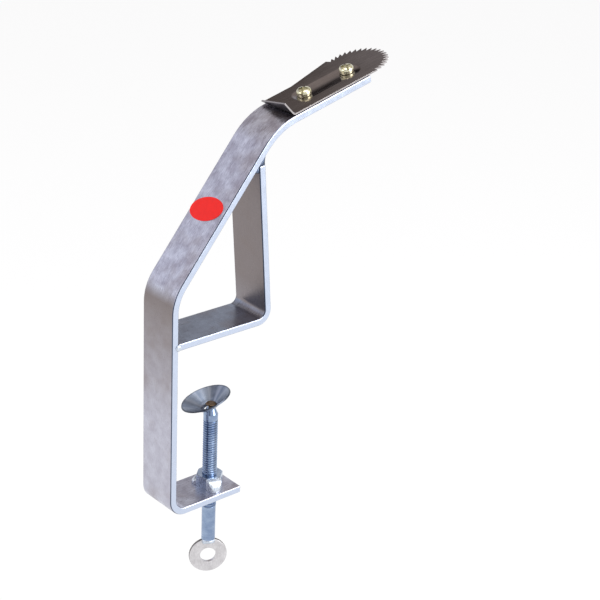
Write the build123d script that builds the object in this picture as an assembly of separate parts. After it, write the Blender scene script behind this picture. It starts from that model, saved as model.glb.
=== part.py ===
from build123d import *
import os
from math import asin, atan2, cos, degrees, radians, sin, sqrt, tan

# Clamp-on coconut scraper: a bent flat-bar frame with a brace, a serrated scraper blade on its
# arm, and a clamp screw with a swivelling pressure cup below.
# Millimetres. The origin lies on the jaw's clamping face (its underside, z = 0), on the clamp
# screw's axis. +X is the way the foot, the jaw and the arm point, +Y the far edge, +Z up.

# ---- flat bar -----------------------------------------------------------------------------------
bar_width = 25.0
bar_thickness = 4.0
bar_edge_chamfer = 0.6

# ---- main bar: foot, upright, incline and arm, all measured on the outer face -------------------
upright_x = -35.4
foot_underside_z = -97.5
foot_end_x = 12.0
foot_bend_radius = 6.0
incline_start_z = 28.9
incline_angle = 38.8
incline_length = 102.3
incline_bend_radius = 21.0
arm_angle = 75.5
arm_length = 64.5
arm_bend_radius = 34.0

# ---- brace bar: the jaw run and the leaning leg -------------------------------------------------
jaw_reach_x = 29.8
brace_setback = 22.0
brace_bend_radius = 4.0

# ---- welds --------------------------------------------------------------------------------------
bead_inset = 0.6
brace_bead_reach = 7.2
brace_bead_sag = 0.6
brace_back_bead = 3.6
bead_root_gap = 0.3
jaw_bead_radius = 2.1
jaw_bead_crown_radius = 1.2
jaw_bead_height = 0.9
bead_facets = 12
nut_bead_length = 8.4
nut_bead_reach = 4.6
nut_bead_height = 6.4
back_bead_length = 6.0
back_bead_reach = 3.0
back_bead_height = 2.6
eye_bead_length = 7.0
eye_bead_reach = 2.9
eye_bead_height = 2.4

# ---- clamp nut ----------------------------------------------------------------------------------
nut_across_flats = 13.2
nut_height = 6.8
nut_corner_azimuth = -138.5
nut_chamfer_angle = 30.0
foot_hole_radius = 4.5

# ---- clamp screw, threaded part at its root radius ----------------------------------------------
screw_radius = 3.97
thread_root_radius = 3.3
shank_radius = 3.82
thread_end_z = -107.0
screw_end_z = -128.4
tip_radius = 2.3
tip_taper = 3.4
plain_end_length = 4.0
thread_clearance = 0.05

# ---- eye ----------------------------------------------------------------------------------------
eye_radius = 10.6
eye_hole_radius = 4.45
eye_thickness = 2.0
eye_azimuth = -118.0
eye_edge_round = 0.3

# ---- swivel rivet and pressure cup --------------------------------------------------------------
swivel_z = -49.8
cup_tilt = 19.8
cup_tilt_azimuth = 138.8
cup_radius = 13.7
cup_depth = 5.3
cup_sheet = 0.8
cup_hub_radius = 4.8
cup_wall_radius = 7.4
cup_wall_rise = 1.9
cup_hole_radius = 2.7
rivet_neck_radius = 1.25
rivet_head_overlap = 0.2
rivet_head_height = 1.1
rivet_edge_height = 0.45
rivet_crown_radius = 1.75
rivet_button_radius = 1.7
rivet_button_length = 1.8
rivet_lip_length = 1.2
swivel_clearance = 0.05

# ---- scraper blade ------------------------------------------------------------------------------
# In arm coordinates: s along the arm's outer face from its corner, y across, h above the face.
blade_thickness = 0.8
blade_tail_s = 13.6
tail_bend_radius = 2.0
tail_angle = 60.0
tail_height_near = 9.7
tail_height_far = 1.5
near_edge_y = -12.6
far_edge_y = 12.5
flare_start_s = 31.0
flare_end = (60.6, 18.4)
first_root = (61.9, 15.9)
head_centre = (68.6, 2.95)
head_half_length = 18.4
head_half_width = 15.6
tooth_count = 20
first_tooth_angle = -88.0
last_tooth_angle = 103.0
tooth_depth = 3.3
tooth_rake = 0.75
trough_width = 13.0
trough_depth = 0.6
trough_start_s = 22.0
trough_end_s = 67.0

# ---- blade screws, lock washers and nuts --------------------------------------------------------
rear_screw_s = 29.2
front_screw_s = 59.0
rear_slot_angle = 39.0
front_slot_angle = 65.0
small_screw_radius = 2.0
small_hole_radius = 2.25
head_radius = 4.0
head_height = 2.7
head_edge_height = 1.3
head_shoulder_radius = 3.5
head_shoulder_height = 2.2
head_crown_radius = 2.4
slot_width = 1.1
slot_depth = 1.2
cross_length = 4.8
lock_washer_radius = 3.8
lock_washer_bore_radius = 2.15
lock_washer_thickness = 1.0
lock_washer_gap = 0.9
small_nut_across_flats = 7.0
small_nut_height = 3.2
screw_stand_out = 1.2

# ---- oval label on the incline ------------------------------------------------------------------
label_s = 49.0
label_y = 1.1
label_length = 22.6
label_width = 13.4
label_turn = 14.0
label_thickness = 0.2

# ---- places worked out from the sizes above -----------------------------------------------------
foot_top_z = foot_underside_z + bar_thickness
upright_inner_x = upright_x + bar_thickness
half_width = bar_width / 2


def direction(angle_from_vertical):
    """Unit vector in the XZ plane that leans from +Z towards +X by an angle."""
    angle = radians(angle_from_vertical)
    return Vector(sin(angle), 0, cos(angle))


def across(angle_from_vertical):
    """Unit vector square to a leaning direction, to its +X side."""
    return direction(angle_from_vertical + 90)


incline_start = Vector(upright_x, 0, incline_start_z)
arm_start = incline_start + direction(incline_angle) * incline_length
arm_end = arm_start + direction(arm_angle) * arm_length
arm_plane = Plane(origin=arm_start, x_dir=direction(arm_angle), z_dir=-across(arm_angle))
incline_plane = Plane(origin=incline_start, x_dir=direction(incline_angle), z_dir=-across(incline_angle))

# The brace's inner face ends on the incline's underside, set back from the arm's corner, and
# the leg leans as its two ends ask.
brace_corner = Vector(jaw_reach_x, 0, 0)
brace_inner_top = (
    arm_start - direction(incline_angle) * brace_setback + across(incline_angle) * bar_thickness
)
brace_span = brace_inner_top - brace_corner
brace_lean = -degrees(atan2(brace_span.X, brace_span.Z) + asin(bar_thickness / brace_span.length))
brace_outer_top = brace_inner_top + across(-brace_lean) * bar_thickness

# The cup's loose hole lets it slide and tilt until its edge meets the rivet's neck. The pivot
# lies below the hub by the height that makes this slide the same at both ends of the tilt.
tilt = radians(cup_tilt)
cup_slide = (
    cup_hole_radius * cos(tilt) - cup_sheet / 2 * sin(tilt) - rivet_neck_radius - swivel_clearance
)
hub_height = cup_slide / sin(tilt)
rivet_head_radius = cup_hole_radius + rivet_head_overlap
tip_z = swivel_z + (hub_height - cup_sheet / 2) / cos(tilt) - swivel_clearance
rivet_head_z = (
    swivel_z
    + (hub_height + cup_sheet / 2) / cos(tilt)
    + rivet_head_radius * tan(tilt)
    + swivel_clearance
)
shoulder_z = tip_z - tip_taper
thread_start_z = shoulder_z - plain_end_length
button_top_z = tip_z - rivet_lip_length - swivel_clearance
button_end_z = button_top_z - rivet_button_length

# The trough is pressed down until its underside touches the arm, so the blade's flat rim
# stands clear of the bar by the trough's depth. A lock washer rests on the trough's two flanks.
trough_radius = ((trough_width / 2) ** 2 + trough_depth**2) / (2 * trough_depth)
blade_top_h = trough_depth + blade_thickness
washer_sag = trough_radius - sqrt(trough_radius**2 - lock_washer_radius**2)
washer_seat_h = blade_thickness + washer_sag
head_seat_h = washer_seat_h + lock_washer_thickness


# ---- shared forms -------------------------------------------------------------------------------
def bent_bar(corners, inner_radii, inside):
    """Flat bar bent through corners on its outer face; inside is the bar's side of that line."""
    path = FilletPolyline(*corners, radius=[radius + bar_thickness for radius in inner_radii])
    start = Plane(origin=path @ 0, x_dir=(0, 1, 0), z_dir=path % 0)
    flat = Rectangle(bar_width, bar_thickness)
    section = Pos(0, inside * bar_thickness / 2) * chamfer(flat.vertices(), bar_edge_chamfer)
    return sweep(start * section, path)


def revolved(points):
    """Solid of revolution about Z from a closed (radius, z) outline."""
    outline = Plane.XZ * make_face(Polyline(*points, close=True))
    return revolve(outline, Axis.Z)


def hex_nut(across_flats, height, bore_radius):
    """Hexagon nut standing on z = 0 with a corner on +X, its upper corners chamfered."""
    corner_radius = across_flats / 2 / cos(radians(30))
    drop = (corner_radius - across_flats / 2) * tan(radians(nut_chamfer_angle))
    nut = extrude(RegularPolygon(across_flats / 2, 6, major_radius=False), height)
    crown = revolved(
        [
            (0, 0),
            (corner_radius, 0),
            (corner_radius, height - drop),
            (across_flats / 2, height),
            (0, height),
        ]
    )
    return (nut & crown) - Pos(0, 0, height / 2) * Cylinder(bore_radius, height)


def oval_points(half_length, half_width, start, end):
    """Points round an oval from a start to an end angle, at the weld beads' facets."""
    steps = round(bead_facets * (end - start) / 360)
    angles = [radians(start + (end - start) * step / steps) for step in range(steps + 1)]
    return [(half_length * cos(angle), half_width * sin(angle)) for angle in angles]


def weld_lump(length, reach, height):
    """Faceted lump on z = 0 against the YZ plane: an oval plan cut by an oval side profile."""
    plan = make_face(Polyline(*oval_points(reach, length / 2, -90, 90), close=True))
    side = make_face(Polyline((0, 0), *oval_points(reach, height, 0, 90), close=True))
    return extrude(plan, height) & extrude(Plane.XZ * side, length, both=True)


# ---- frame --------------------------------------------------------------------------------------
def make_main_bar():
    """Foot, upright, incline and arm of one flat bar, drilled for the clamp and blade screws."""
    corners = [
        Vector(foot_end_x, 0, foot_underside_z),
        Vector(upright_x, 0, foot_underside_z),
        incline_start,
        arm_start,
        arm_end,
    ]
    bar = bent_bar(corners, [foot_bend_radius, incline_bend_radius, arm_bend_radius], -1)
    foot_hole = Pos(0, 0, foot_underside_z + bar_thickness / 2) * Cylinder(
        foot_hole_radius, bar_thickness
    )
    blade_holes = [
        arm_plane * Pos(s, 0, -bar_thickness / 2) * Cylinder(small_hole_radius, bar_thickness)
        for s in (rear_screw_s, front_screw_s)
    ]
    return bar - [foot_hole, *blade_holes]


def make_brace_bar():
    """Jaw run butted against the upright, bent up into the leg that props the incline."""
    corners = [Vector(upright_inner_x, 0, 0), brace_corner, brace_outer_top]
    return bent_bar(corners, [brace_bend_radius], 1)


def make_brace_weld():
    """Concave bead in the wedge over the leg's end and a small one in the corner behind it."""
    along = direction(incline_angle)
    bead_end = brace_inner_top + along * brace_bead_reach
    chord = bead_end - brace_outer_top
    sag = Vector(-chord.Z, 0, chord.X).normalized() * brace_bead_sag
    hollow = ThreePointArc(brace_outer_top, brace_outer_top + chord / 2 + sag, bead_end)
    front = make_face([hollow, Line(bead_end, brace_inner_top), Line(brace_inner_top, brace_outer_top)])
    leg = direction(-brace_lean)
    back = make_face(
        Polyline(
            brace_inner_top - along * bead_root_gap,
            brace_inner_top - along * brace_back_bead,
            brace_inner_top - leg * brace_back_bead,
            brace_inner_top - leg * bead_root_gap,
            close=True,
        )
    )
    reach = half_width - bead_inset
    return extrude(front, reach, both=True) + extrude(back, reach, both=True)


def make_jaw_weld():
    """Two round tacks over the butt joint, one on each edge of the bars."""
    slope = degrees(atan2(jaw_bead_radius - jaw_bead_crown_radius, jaw_bead_height))
    tack = extrude(RegularPolygon(jaw_bead_radius, bead_facets), jaw_bead_height, taper=slope)
    joint = Pos(upright_inner_x, 0, bar_thickness / 2)
    near = joint * Pos(0, -half_width, 0) * Rot(90, 0, 0) * tack
    far = joint * Pos(0, half_width, 0) * Rot(-90, 0, 0) * tack
    return near + far


# ---- clamp --------------------------------------------------------------------------------------
def make_clamp_nut():
    """Hexagon nut that stands on the foot over its hole."""
    nut = hex_nut(nut_across_flats, nut_height, thread_root_radius + thread_clearance)
    return Pos(0, 0, foot_top_z) * Rot(0, 0, nut_corner_azimuth) * nut


def make_nut_weld():
    """Tall lump against the nut's near flat and a low one against the flat behind."""
    flat = Pos(nut_across_flats / 2, 0, 0)
    near = Rot(0, 0, nut_corner_azimuth + 30) * flat
    back = Rot(0, 0, nut_corner_azimuth - 90) * flat
    lumps = near * weld_lump(nut_bead_length, nut_bead_reach, nut_bead_height)
    lumps += back * weld_lump(back_bead_length, back_bead_reach, back_bead_height)
    return Pos(0, 0, foot_top_z) * lumps


def make_clamp_screw():
    """Spindle: tapered tip with the rivet's socket, plain end, threaded part, plain shank."""
    spindle = revolved(
        [
            (0, screw_end_z),
            (shank_radius, screw_end_z),
            (shank_radius, thread_end_z),
            (thread_root_radius, thread_end_z),
            (thread_root_radius, thread_start_z),
            (screw_radius, thread_start_z),
            (screw_radius, shoulder_z),
            (tip_radius, tip_z),
            (0, tip_z),
        ]
    )
    neck_room = rivet_neck_radius + swivel_clearance
    button_room = rivet_button_radius + swivel_clearance
    socket = revolved(
        [
            (0, tip_z),
            (neck_room, tip_z),
            (neck_room, tip_z - rivet_lip_length),
            (button_room, tip_z - rivet_lip_length),
            (button_room, button_end_z - swivel_clearance),
            (0, button_end_z - swivel_clearance - button_room / 2),
        ]
    )
    return spindle - socket


def make_eye_washer():
    """Flat ring welded on edge under the screw, the grip for turning it."""
    azimuth = radians(eye_azimuth)
    centre = Vector(0, 0, screw_end_z - eye_radius)
    disc = Cylinder(eye_radius, eye_thickness)
    ring = chamfer(disc.edges().filter_by(GeomType.CIRCLE), eye_edge_round)
    ring -= Cylinder(eye_hole_radius, 2 * eye_thickness)
    return Plane(origin=centre, z_dir=(cos(azimuth), sin(azimuth), 0)) * ring


def make_eye_weld():
    """Two lumps under the screw's end, one against each face of the ring."""
    lump = weld_lump(eye_bead_length, eye_bead_reach, eye_bead_height)
    beads = []
    for azimuth in (eye_azimuth, eye_azimuth + 180):
        outward = Vector(cos(radians(azimuth)), sin(radians(azimuth)), 0)
        root = Vector(0, 0, screw_end_z) + outward * eye_thickness / 2
        beads.append(Plane(origin=root, x_dir=outward, z_dir=(0, 0, -1)) * lump)
    return beads[0] + beads[1]


# ---- swivel -------------------------------------------------------------------------------------
def make_swivel_rivet():
    """Domed head in the cup, neck through its hole, button held in the screw's socket."""
    return revolved(
        [
            (0, button_end_z),
            (rivet_button_radius, button_end_z),
            (rivet_button_radius, button_top_z),
            (rivet_neck_radius, button_top_z),
            (rivet_neck_radius, rivet_head_z),
            (rivet_head_radius, rivet_head_z),
            (rivet_head_radius, rivet_head_z + rivet_edge_height),
            (rivet_crown_radius, rivet_head_z + rivet_head_height),
            (0, rivet_head_z + rivet_head_height),
        ]
    )


def make_pressure_cup():
    """Dished sheet cup with a loose hole in its hub, lying tilted on the rivet."""
    middle = Polyline(
        (cup_hole_radius, hub_height),
        (cup_hub_radius, hub_height),
        (cup_wall_radius, hub_height + cup_wall_rise),
        (cup_radius, hub_height + cup_depth),
    )
    cup = revolve(Plane.XZ * trace(middle, cup_sheet), Axis.Z)
    azimuth = radians(cup_tilt_azimuth)
    lean = Vector(cos(azimuth) * sin(tilt), sin(azimuth) * sin(tilt), cos(tilt))
    return Plane(origin=(0, 0, swivel_z), z_dir=lean) * cup


# ---- blade --------------------------------------------------------------------------------------
def head_point(angle, inset=0.0, rake=0.0):
    """Point on the oval through the tooth tips, or set back from it along a raked direction."""
    turn = radians(angle)
    tip = Vector(
        head_centre[0] + head_half_length * cos(turn), head_centre[1] + head_half_width * sin(turn)
    )
    back = Vector(cos(turn) + rake, sin(turn)).normalized()
    return tip - back * inset


def blade_outline():
    """Plan of the blade: straight tail, one flared edge and raked teeth round the head."""
    pitch = (last_tooth_angle - first_tooth_angle) / (tooth_count - 1)
    teeth = []
    for index in range(tooth_count):
        angle = first_tooth_angle + index * pitch
        teeth.append(head_point(angle))
        if index < tooth_count - 1:
            teeth.append(head_point(angle + pitch / 2, tooth_depth, tooth_rake))
    near_corner = Vector(head_point(first_tooth_angle).X - tooth_depth, near_edge_y)
    return [
        Vector(0, near_edge_y),
        near_corner,
        *teeth,
        Vector(*first_root),
        Vector(*flare_end),
        Vector(flare_start_s, far_edge_y),
        Vector(0, far_edge_y),
    ]


def trough_form(radius, low_h, high_h):
    """Long round-ended form that bulges down to one height and is cut flat at another."""
    axis_h = low_h + radius
    length = trough_end_s - trough_start_s - trough_width
    start = trough_start_s + trough_width / 2
    tube = Pos(start + length / 2, 0, axis_h) * Rot(0, 90, 0) * Cylinder(radius, length)
    ends = [Pos(s, 0, axis_h) * Sphere(radius) for s in (start, start + length)]
    slab = Pos(start + length / 2, 0, high_h) * Box(
        4 * radius, 4 * radius, radius, align=(Align.CENTER, Align.CENTER, Align.MAX)
    )
    return (tube + ends) & slab


def make_grater_blade():
    """Sheet blade with a turned-up tail, a pressed trough, two holes and raked teeth."""
    head_s = head_centre[0] + head_half_length + blade_thickness
    tail_direction = radians(180 - tail_angle)
    tail_reach = tail_height_near * 2
    side_line = FilletPolyline(
        (head_s, trough_depth + blade_thickness / 2),
        (blade_tail_s - tail_bend_radius, trough_depth + blade_thickness / 2),
        (
            blade_tail_s - tail_bend_radius + tail_reach * cos(tail_direction),
            trough_depth + blade_thickness / 2 + tail_reach * sin(tail_direction),
        ),
        radius=tail_bend_radius + blade_thickness / 2,
    )
    sheet = extrude(Plane.XZ * trace(side_line, blade_thickness), bar_width, both=True)
    plan = extrude(make_face(Polyline(*blade_outline(), close=True)), 2 * tail_reach, both=True)
    blade = sheet & plan

    # the tail's top edge slopes from the near corner down to the far one
    rise = (tail_height_near - tail_height_far) / (far_edge_y - near_edge_y)
    tail_plane = Plane(
        origin=(blade_tail_s - tail_bend_radius, near_edge_y, trough_depth + blade_thickness / 2),
        x_dir=(0, 1, 0),
        z_dir=(sin(tail_direction), 0, -cos(tail_direction)),
    )
    trim = Pos(0, tail_height_near, 0) * Rot(0, 0, -degrees(atan2(rise, 1))) * Box(
        4 * bar_width, tail_reach * 2, bar_thickness, align=(Align.CENTER, Align.MIN, Align.CENTER)
    )
    blade -= tail_plane * trim

    blade += trough_form(trough_radius + blade_thickness, 0, trough_depth)
    blade -= trough_form(trough_radius, blade_thickness, blade_top_h)
    for s in (rear_screw_s, front_screw_s):
        blade -= Pos(s, 0, 0) * Cylinder(small_hole_radius, 4 * blade_top_h)
    return arm_plane * blade


# ---- blade fasteners ----------------------------------------------------------------------------
def make_blade_screw(s, slot_angle):
    """Pan-head screw with a slot and a cross, from above the blade to below the nut."""
    head = revolved(
        [
            (0, head_seat_h),
            (head_radius, head_seat_h),
            (head_radius, head_seat_h + head_edge_height),
            (head_shoulder_radius, head_seat_h + head_shoulder_height),
            (head_crown_radius, head_seat_h + head_height),
            (0, head_seat_h + head_height),
        ]
    )
    end_h = -bar_thickness - small_nut_height - screw_stand_out
    shank = Pos(0, 0, end_h) * extrude(Circle(small_screw_radius), head_seat_h - end_h)
    recess = Box(4 * head_radius, slot_width, 2 * slot_depth) + Box(
        slot_width, cross_length, 2 * slot_depth
    )
    top = Pos(0, 0, head_seat_h + head_height) * Rot(0, 0, slot_angle)
    return arm_plane * Pos(s, 0, 0) * (head + shank - top * recess)


def make_lock_washer(s, gap_angle):
    """Split ring between the screw's head and the blade."""
    ring = extrude(Circle(lock_washer_radius) - Circle(lock_washer_bore_radius), lock_washer_thickness)
    gap = Box(
        2 * lock_washer_radius,
        lock_washer_gap,
        4 * lock_washer_thickness,
        align=(Align.MIN, Align.CENTER, Align.CENTER),
    )
    return arm_plane * Pos(s, 0, washer_seat_h) * (ring - Rot(0, 0, gap_angle) * gap)


def make_blade_nut(s):
    """Small nut under the arm, its chamfered side down."""
    nut = hex_nut(small_nut_across_flats, small_nut_height, small_screw_radius + thread_clearance)
    return arm_plane * Pos(s, 0, -bar_thickness) * Rot(180, 0, 0) * nut


def make_oval_label():
    """Thin oval label on the incline's outer face."""
    oval = extrude(Ellipse(label_length / 2, label_width / 2), label_thickness)
    return incline_plane * Pos(label_s, label_y, 0) * Rot(0, 0, 90 + label_turn) * oval


def build():
    """Every node's solid, by name."""
    return {
        "main_bar": make_main_bar(),
        "brace_bar": make_brace_bar(),
        "brace_weld": make_brace_weld(),
        "jaw_weld": make_jaw_weld(),
        "clamp_nut": make_clamp_nut(),
        "nut_weld": make_nut_weld(),
        "clamp_screw": make_clamp_screw(),
        "eye_washer": make_eye_washer(),
        "eye_weld": make_eye_weld(),
        "swivel_rivet": make_swivel_rivet(),
        "pressure_cup": make_pressure_cup(),
        "grater_blade": make_grater_blade(),
        "rear_blade_screw": make_blade_screw(rear_screw_s, rear_slot_angle),
        "front_blade_screw": make_blade_screw(front_screw_s, front_slot_angle),
        "rear_lock_washer": make_lock_washer(rear_screw_s, rear_slot_angle + 90),
        "front_lock_washer": make_lock_washer(front_screw_s, front_slot_angle + 90),
        "rear_blade_nut": make_blade_nut(rear_screw_s),
        "front_blade_nut": make_blade_nut(front_screw_s),
        "oval_label": make_oval_label(),
    }


os.makedirs("parts", exist_ok=True)
for node, solid in build().items():
    export_step(solid, f"parts/{node}.step")
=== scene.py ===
from math import asin, atan2, cos, degrees, pi, radians, sin, sqrt, tan

import bpy
from bpy.props import FloatProperty, FloatVectorProperty, IntProperty, PointerProperty
from mathutils import Matrix, Vector


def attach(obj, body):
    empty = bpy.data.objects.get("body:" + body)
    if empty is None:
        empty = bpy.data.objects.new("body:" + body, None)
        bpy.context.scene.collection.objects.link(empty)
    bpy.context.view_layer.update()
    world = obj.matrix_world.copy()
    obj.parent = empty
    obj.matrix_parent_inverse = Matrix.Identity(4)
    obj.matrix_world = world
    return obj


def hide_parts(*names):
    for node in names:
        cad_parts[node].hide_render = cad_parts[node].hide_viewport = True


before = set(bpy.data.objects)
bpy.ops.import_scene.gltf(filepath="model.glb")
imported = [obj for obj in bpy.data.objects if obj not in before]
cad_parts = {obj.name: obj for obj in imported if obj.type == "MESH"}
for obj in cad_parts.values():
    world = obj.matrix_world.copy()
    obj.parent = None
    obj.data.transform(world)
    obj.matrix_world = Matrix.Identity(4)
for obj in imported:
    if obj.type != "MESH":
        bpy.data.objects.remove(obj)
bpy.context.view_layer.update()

# The look of a clamp-on coconut scraper: a bent flat-bar frame, a serrated blade on its arm and a
# threaded clamp screw with a swivelling cup. Blender's unit is the metre; sizes are written in
# millimetres and turned with MM. The frame is the CAD model's own: the origin lies on the jaw's
# underside on the clamp screw's axis, +X is the way the arm points and +Z is up.

bl_info = {
    "name": "Coconut scraper",
    "version": (1, 0, 0),
    "blender": (4, 5, 0),
    "location": "View3D > Sidebar > Scraper",
    "description": "Builds the pieces and finishes of a clamp-on coconut scraper",
    "category": "Object",
}

MM = 0.001
SMOOTH_ANGLE = radians(32)
MERGE = 0.001 * MM
BEND_STEP = 4

# ---- places taken over from the CAD model, in millimetres ---------------------------------------
BAR_THICKNESS = 4.0
BAR_WIDTH = 25.0
UPRIGHT_X = -35.4
FOOT_UNDERSIDE_Z = -97.5
FOOT_END_X = 12.0
INCLINE_START = Vector((UPRIGHT_X, 0, 28.9))
INCLINE_ANGLE = 38.8
INCLINE_LENGTH = 102.3
ARM_ANGLE = 75.5
ARM_LENGTH = 64.5
BRACE_CORNER = Vector((29.8, 0, 0))
BRACE_SETBACK = 22.0
FOOT_BEND_RADIUS = 6.0
INCLINE_BEND_RADIUS = 21.0
ARM_BEND_RADIUS = 34.0
BRACE_BEND_RADIUS = 4.0
FOOT_HOLE_RADIUS = 4.5
BLADE_HOLE_RADIUS = 2.25
TAIL_LEAN = radians(30)
EYE_Z = -139.0
EYE_AZIMUTH = radians(-118)

SWIVEL_Z = -49.8
CUP_TILT = radians(19.8)
CUP_TILT_AZIMUTH = radians(138.8)
CUP_HOLE_RADIUS = 2.7
CUP_SHEET = 0.8
CUP_HUB_RADIUS = 4.8
CUP_FLARE_RADIUS = 7.4
CUP_RADIUS = 13.7
NECK_RADIUS = 1.25
CLEARANCE = 0.05
CUP_SLIDE = (
    CUP_HOLE_RADIUS * cos(CUP_TILT) - CUP_SHEET / 2 * sin(CUP_TILT) - NECK_RADIUS - CLEARANCE
)
HUB_HEIGHT = CUP_SLIDE / sin(CUP_TILT)
TIP_Z = SWIVEL_Z + (HUB_HEIGHT - CUP_SHEET / 2) / cos(CUP_TILT) - CLEARANCE
RIVET_HEAD_RADIUS = 2.9
RIVET_HEAD_Z = (
    SWIVEL_Z + (HUB_HEIGHT + CUP_SHEET / 2) / cos(CUP_TILT) + RIVET_HEAD_RADIUS * tan(CUP_TILT)
    + CLEARANCE
)
SHOULDER_Z = TIP_Z - 3.4
THREAD_START_Z = SHOULDER_Z - 4.0
THREAD_END_Z = -107.0
SCREW_END_Z = -128.4

REAR_SCREW_S = 29.2
FRONT_SCREW_S = 59.0
HEAD_SEAT_H = 2.003
HEAD_HEIGHT = 2.7
HEAD_RADIUS = 4.0
SCREW_RADIUS = 2.0
BLADE_NUT_HEIGHT = 3.2
SCREW_OVERHANG = 1.2
SCREW_END_H = -BAR_THICKNESS - BLADE_NUT_HEIGHT - SCREW_OVERHANG


def direction(angle):
    """Unit vector in the XZ plane that leans from +Z towards +X by an angle in degrees."""
    return Vector((sin(radians(angle)), 0, cos(radians(angle))))


def face_matrix(origin, angle):
    """Frame on a bar's outer face, in metres: x along the bar, y across it, z out of it."""
    along = direction(angle)
    out = -direction(angle + 90)
    matrix = Matrix((along, out.cross(along), out)).transposed().to_4x4()
    matrix.translation = origin * MM
    return matrix


ARM_START = INCLINE_START + direction(INCLINE_ANGLE) * INCLINE_LENGTH
ARM = face_matrix(ARM_START, ARM_ANGLE)
CUP_AXIS = Vector(
    (cos(CUP_TILT_AZIMUTH) * sin(CUP_TILT), sin(CUP_TILT_AZIMUTH) * sin(CUP_TILT), cos(CUP_TILT))
)
CUP = CUP_AXIS.to_track_quat("Z", "Y").to_matrix().to_4x4()
CUP.translation = Vector((0, 0, SWIVEL_Z * MM))

# ---- camera and studio --------------------------------------------------------------------------
CAMERA_PLACE = Vector((-484.13, -611.79, 367.42)) * MM
CAMERA_YAW = radians(48.344)
CAMERA_PITCH = radians(-24.152)
CAMERA_ROLL = radians(2.593)
CAMERA_LENS = 99.0
CAMERA_SENSOR = 36.0
FLOOR_GLOW = 0.85

# Colours of the studio round the object, from its left wall (0) to its right wall (1), of its
# ceiling by how steeply one looks up to it (1 is straight up), and of the pale band at eye level.
WALLS = (
    (0.0, "#F2F4FF"), (0.12, "#E6E8F8"), (0.28, "#8E8DA2"), (0.35, "#2E2A2C"), (0.42, "#3C3637"),
    (0.48, "#E6E8F0"), (0.56, "#EEF0F6"), (0.7, "#EEF2F8"), (0.82, "#F6FAFF"), (1.0, "#FFFFFF"),
)
CEILING = ((0.4, "#B0A8A4"), (0.72, "#BEB6B2"), (0.88, "#DCD8D6"), (1.0, "#ECEAEA"))
HORIZON = "#EEF0F5"
# How steeply one looks up where the band blends into the walls, and the walls into the ceiling.
WALLS_FROM = (0.2, 0.32)
CEILING_FROM = (0.51, 0.63)


def linear(code):
    """Linear red, green and blue from an sRGB hex code."""
    parts = [int(code[i:i + 2], 16) / 255 for i in (1, 3, 5)]
    return tuple(p / 12.92 if p <= 0.04045 else ((p + 0.055) / 1.055) ** 2.4 for p in parts)


# ---- modelling helpers --------------------------------------------------------------------------
def activate(obj):
    """Leaves one object selected and active, in object mode."""
    if bpy.context.object and bpy.context.object.mode != "OBJECT":
        bpy.ops.object.mode_set(mode="OBJECT")
    bpy.ops.object.select_all(action="DESELECT")
    obj.select_set(True)
    bpy.context.view_layer.objects.active = obj


def edit(obj):
    """Opens one object in edit mode with all of it selected."""
    activate(obj)
    bpy.ops.object.mode_set(mode="EDIT")
    bpy.ops.mesh.select_all(action="SELECT")


def leave_edit():
    bpy.ops.object.mode_set(mode="OBJECT")


def apply_modifier(obj, kind, **settings):
    """Adds a modifier with its settings and applies it."""
    activate(obj)
    modifier = obj.modifiers.new(kind.title(), kind)
    for name, value in settings.items():
        setattr(modifier, name, value)
    bpy.ops.object.modifier_apply(modifier=modifier.name)


def outline(name, points):
    """New object with a line of vertices through (radius, height) points in millimetres."""
    if bpy.context.object and bpy.context.object.mode != "OBJECT":
        bpy.ops.object.mode_set(mode="OBJECT")
    bpy.ops.object.select_all(action="DESELECT")
    first, *rest = [Vector((r, 0, h)) * MM for r, h in points]
    bpy.ops.mesh.primitive_plane_add(size=MM, location=(0, 0, 0))
    obj = bpy.context.object
    obj.name = obj.data.name = name
    bpy.ops.object.mode_set(mode="EDIT")
    bpy.ops.mesh.select_all(action="SELECT")
    bpy.ops.mesh.merge(type="CENTER")
    bpy.ops.transform.translate(value=first)
    last = first
    for point in rest:
        bpy.ops.mesh.extrude_region_move(TRANSFORM_OT_translate={"value": point - last})
        last = point
    return obj


def turned(name, points, closed=False):
    """Solid of revolution about Z from an outline, which may close on itself as a ring."""
    steps = bpy.context.scene.scraper_sizes.round_steps
    obj = outline(name, list(points) + [points[0]] if closed else points)
    bpy.ops.mesh.select_all(action="SELECT")
    bpy.ops.mesh.spin(steps=steps, angle=2 * pi, center=(0, 0, 0), axis=(0, 0, 1))
    close_up()
    return obj


def close_up():
    """Merges doubled vertices and turns the faces outwards, in edit mode; then leaves it."""
    bpy.ops.mesh.select_all(action="SELECT")
    bpy.ops.mesh.remove_doubles(threshold=MERGE)
    bpy.ops.mesh.normals_make_consistent(inside=False)
    leave_edit()


def cut_corners(points, rounds):
    """Rounds a line's corners by cutting each one at a quarter of its sides."""
    for _ in range(rounds):
        cut = [points[0]]
        for (ax, ay), (bx, by) in zip(points, points[1:]):
            cut.append((0.75 * ax + 0.25 * bx, 0.75 * ay + 0.25 * by))
            cut.append((0.25 * ax + 0.75 * bx, 0.25 * ay + 0.75 * by))
        points = cut + [points[-1]]
    return points


def sheet_outline(points, thickness):
    """Closed outline of a bent sheet from its middle line."""
    sides = ([], [])
    last = len(points) - 1
    for i, (x, y) in enumerate(points):
        ax, ay = points[max(i - 1, 0)]
        bx, by = points[min(i + 1, last)]
        length = sqrt((bx - ax) ** 2 + (by - ay) ** 2)
        nx, ny = -(by - ay) / length * thickness / 2, (bx - ax) / length * thickness / 2
        sides[0].append((x + nx, y + ny))
        sides[1].append((x - nx, y - ny))
    return sides[0] + sides[1][::-1]


def place(obj, matrix):
    """Moves an object by a matrix and applies it, so that the object ends at the origin."""
    activate(obj)
    obj.matrix_world = matrix
    bpy.ops.object.transform_apply(location=True, rotation=True, scale=True)


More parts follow.
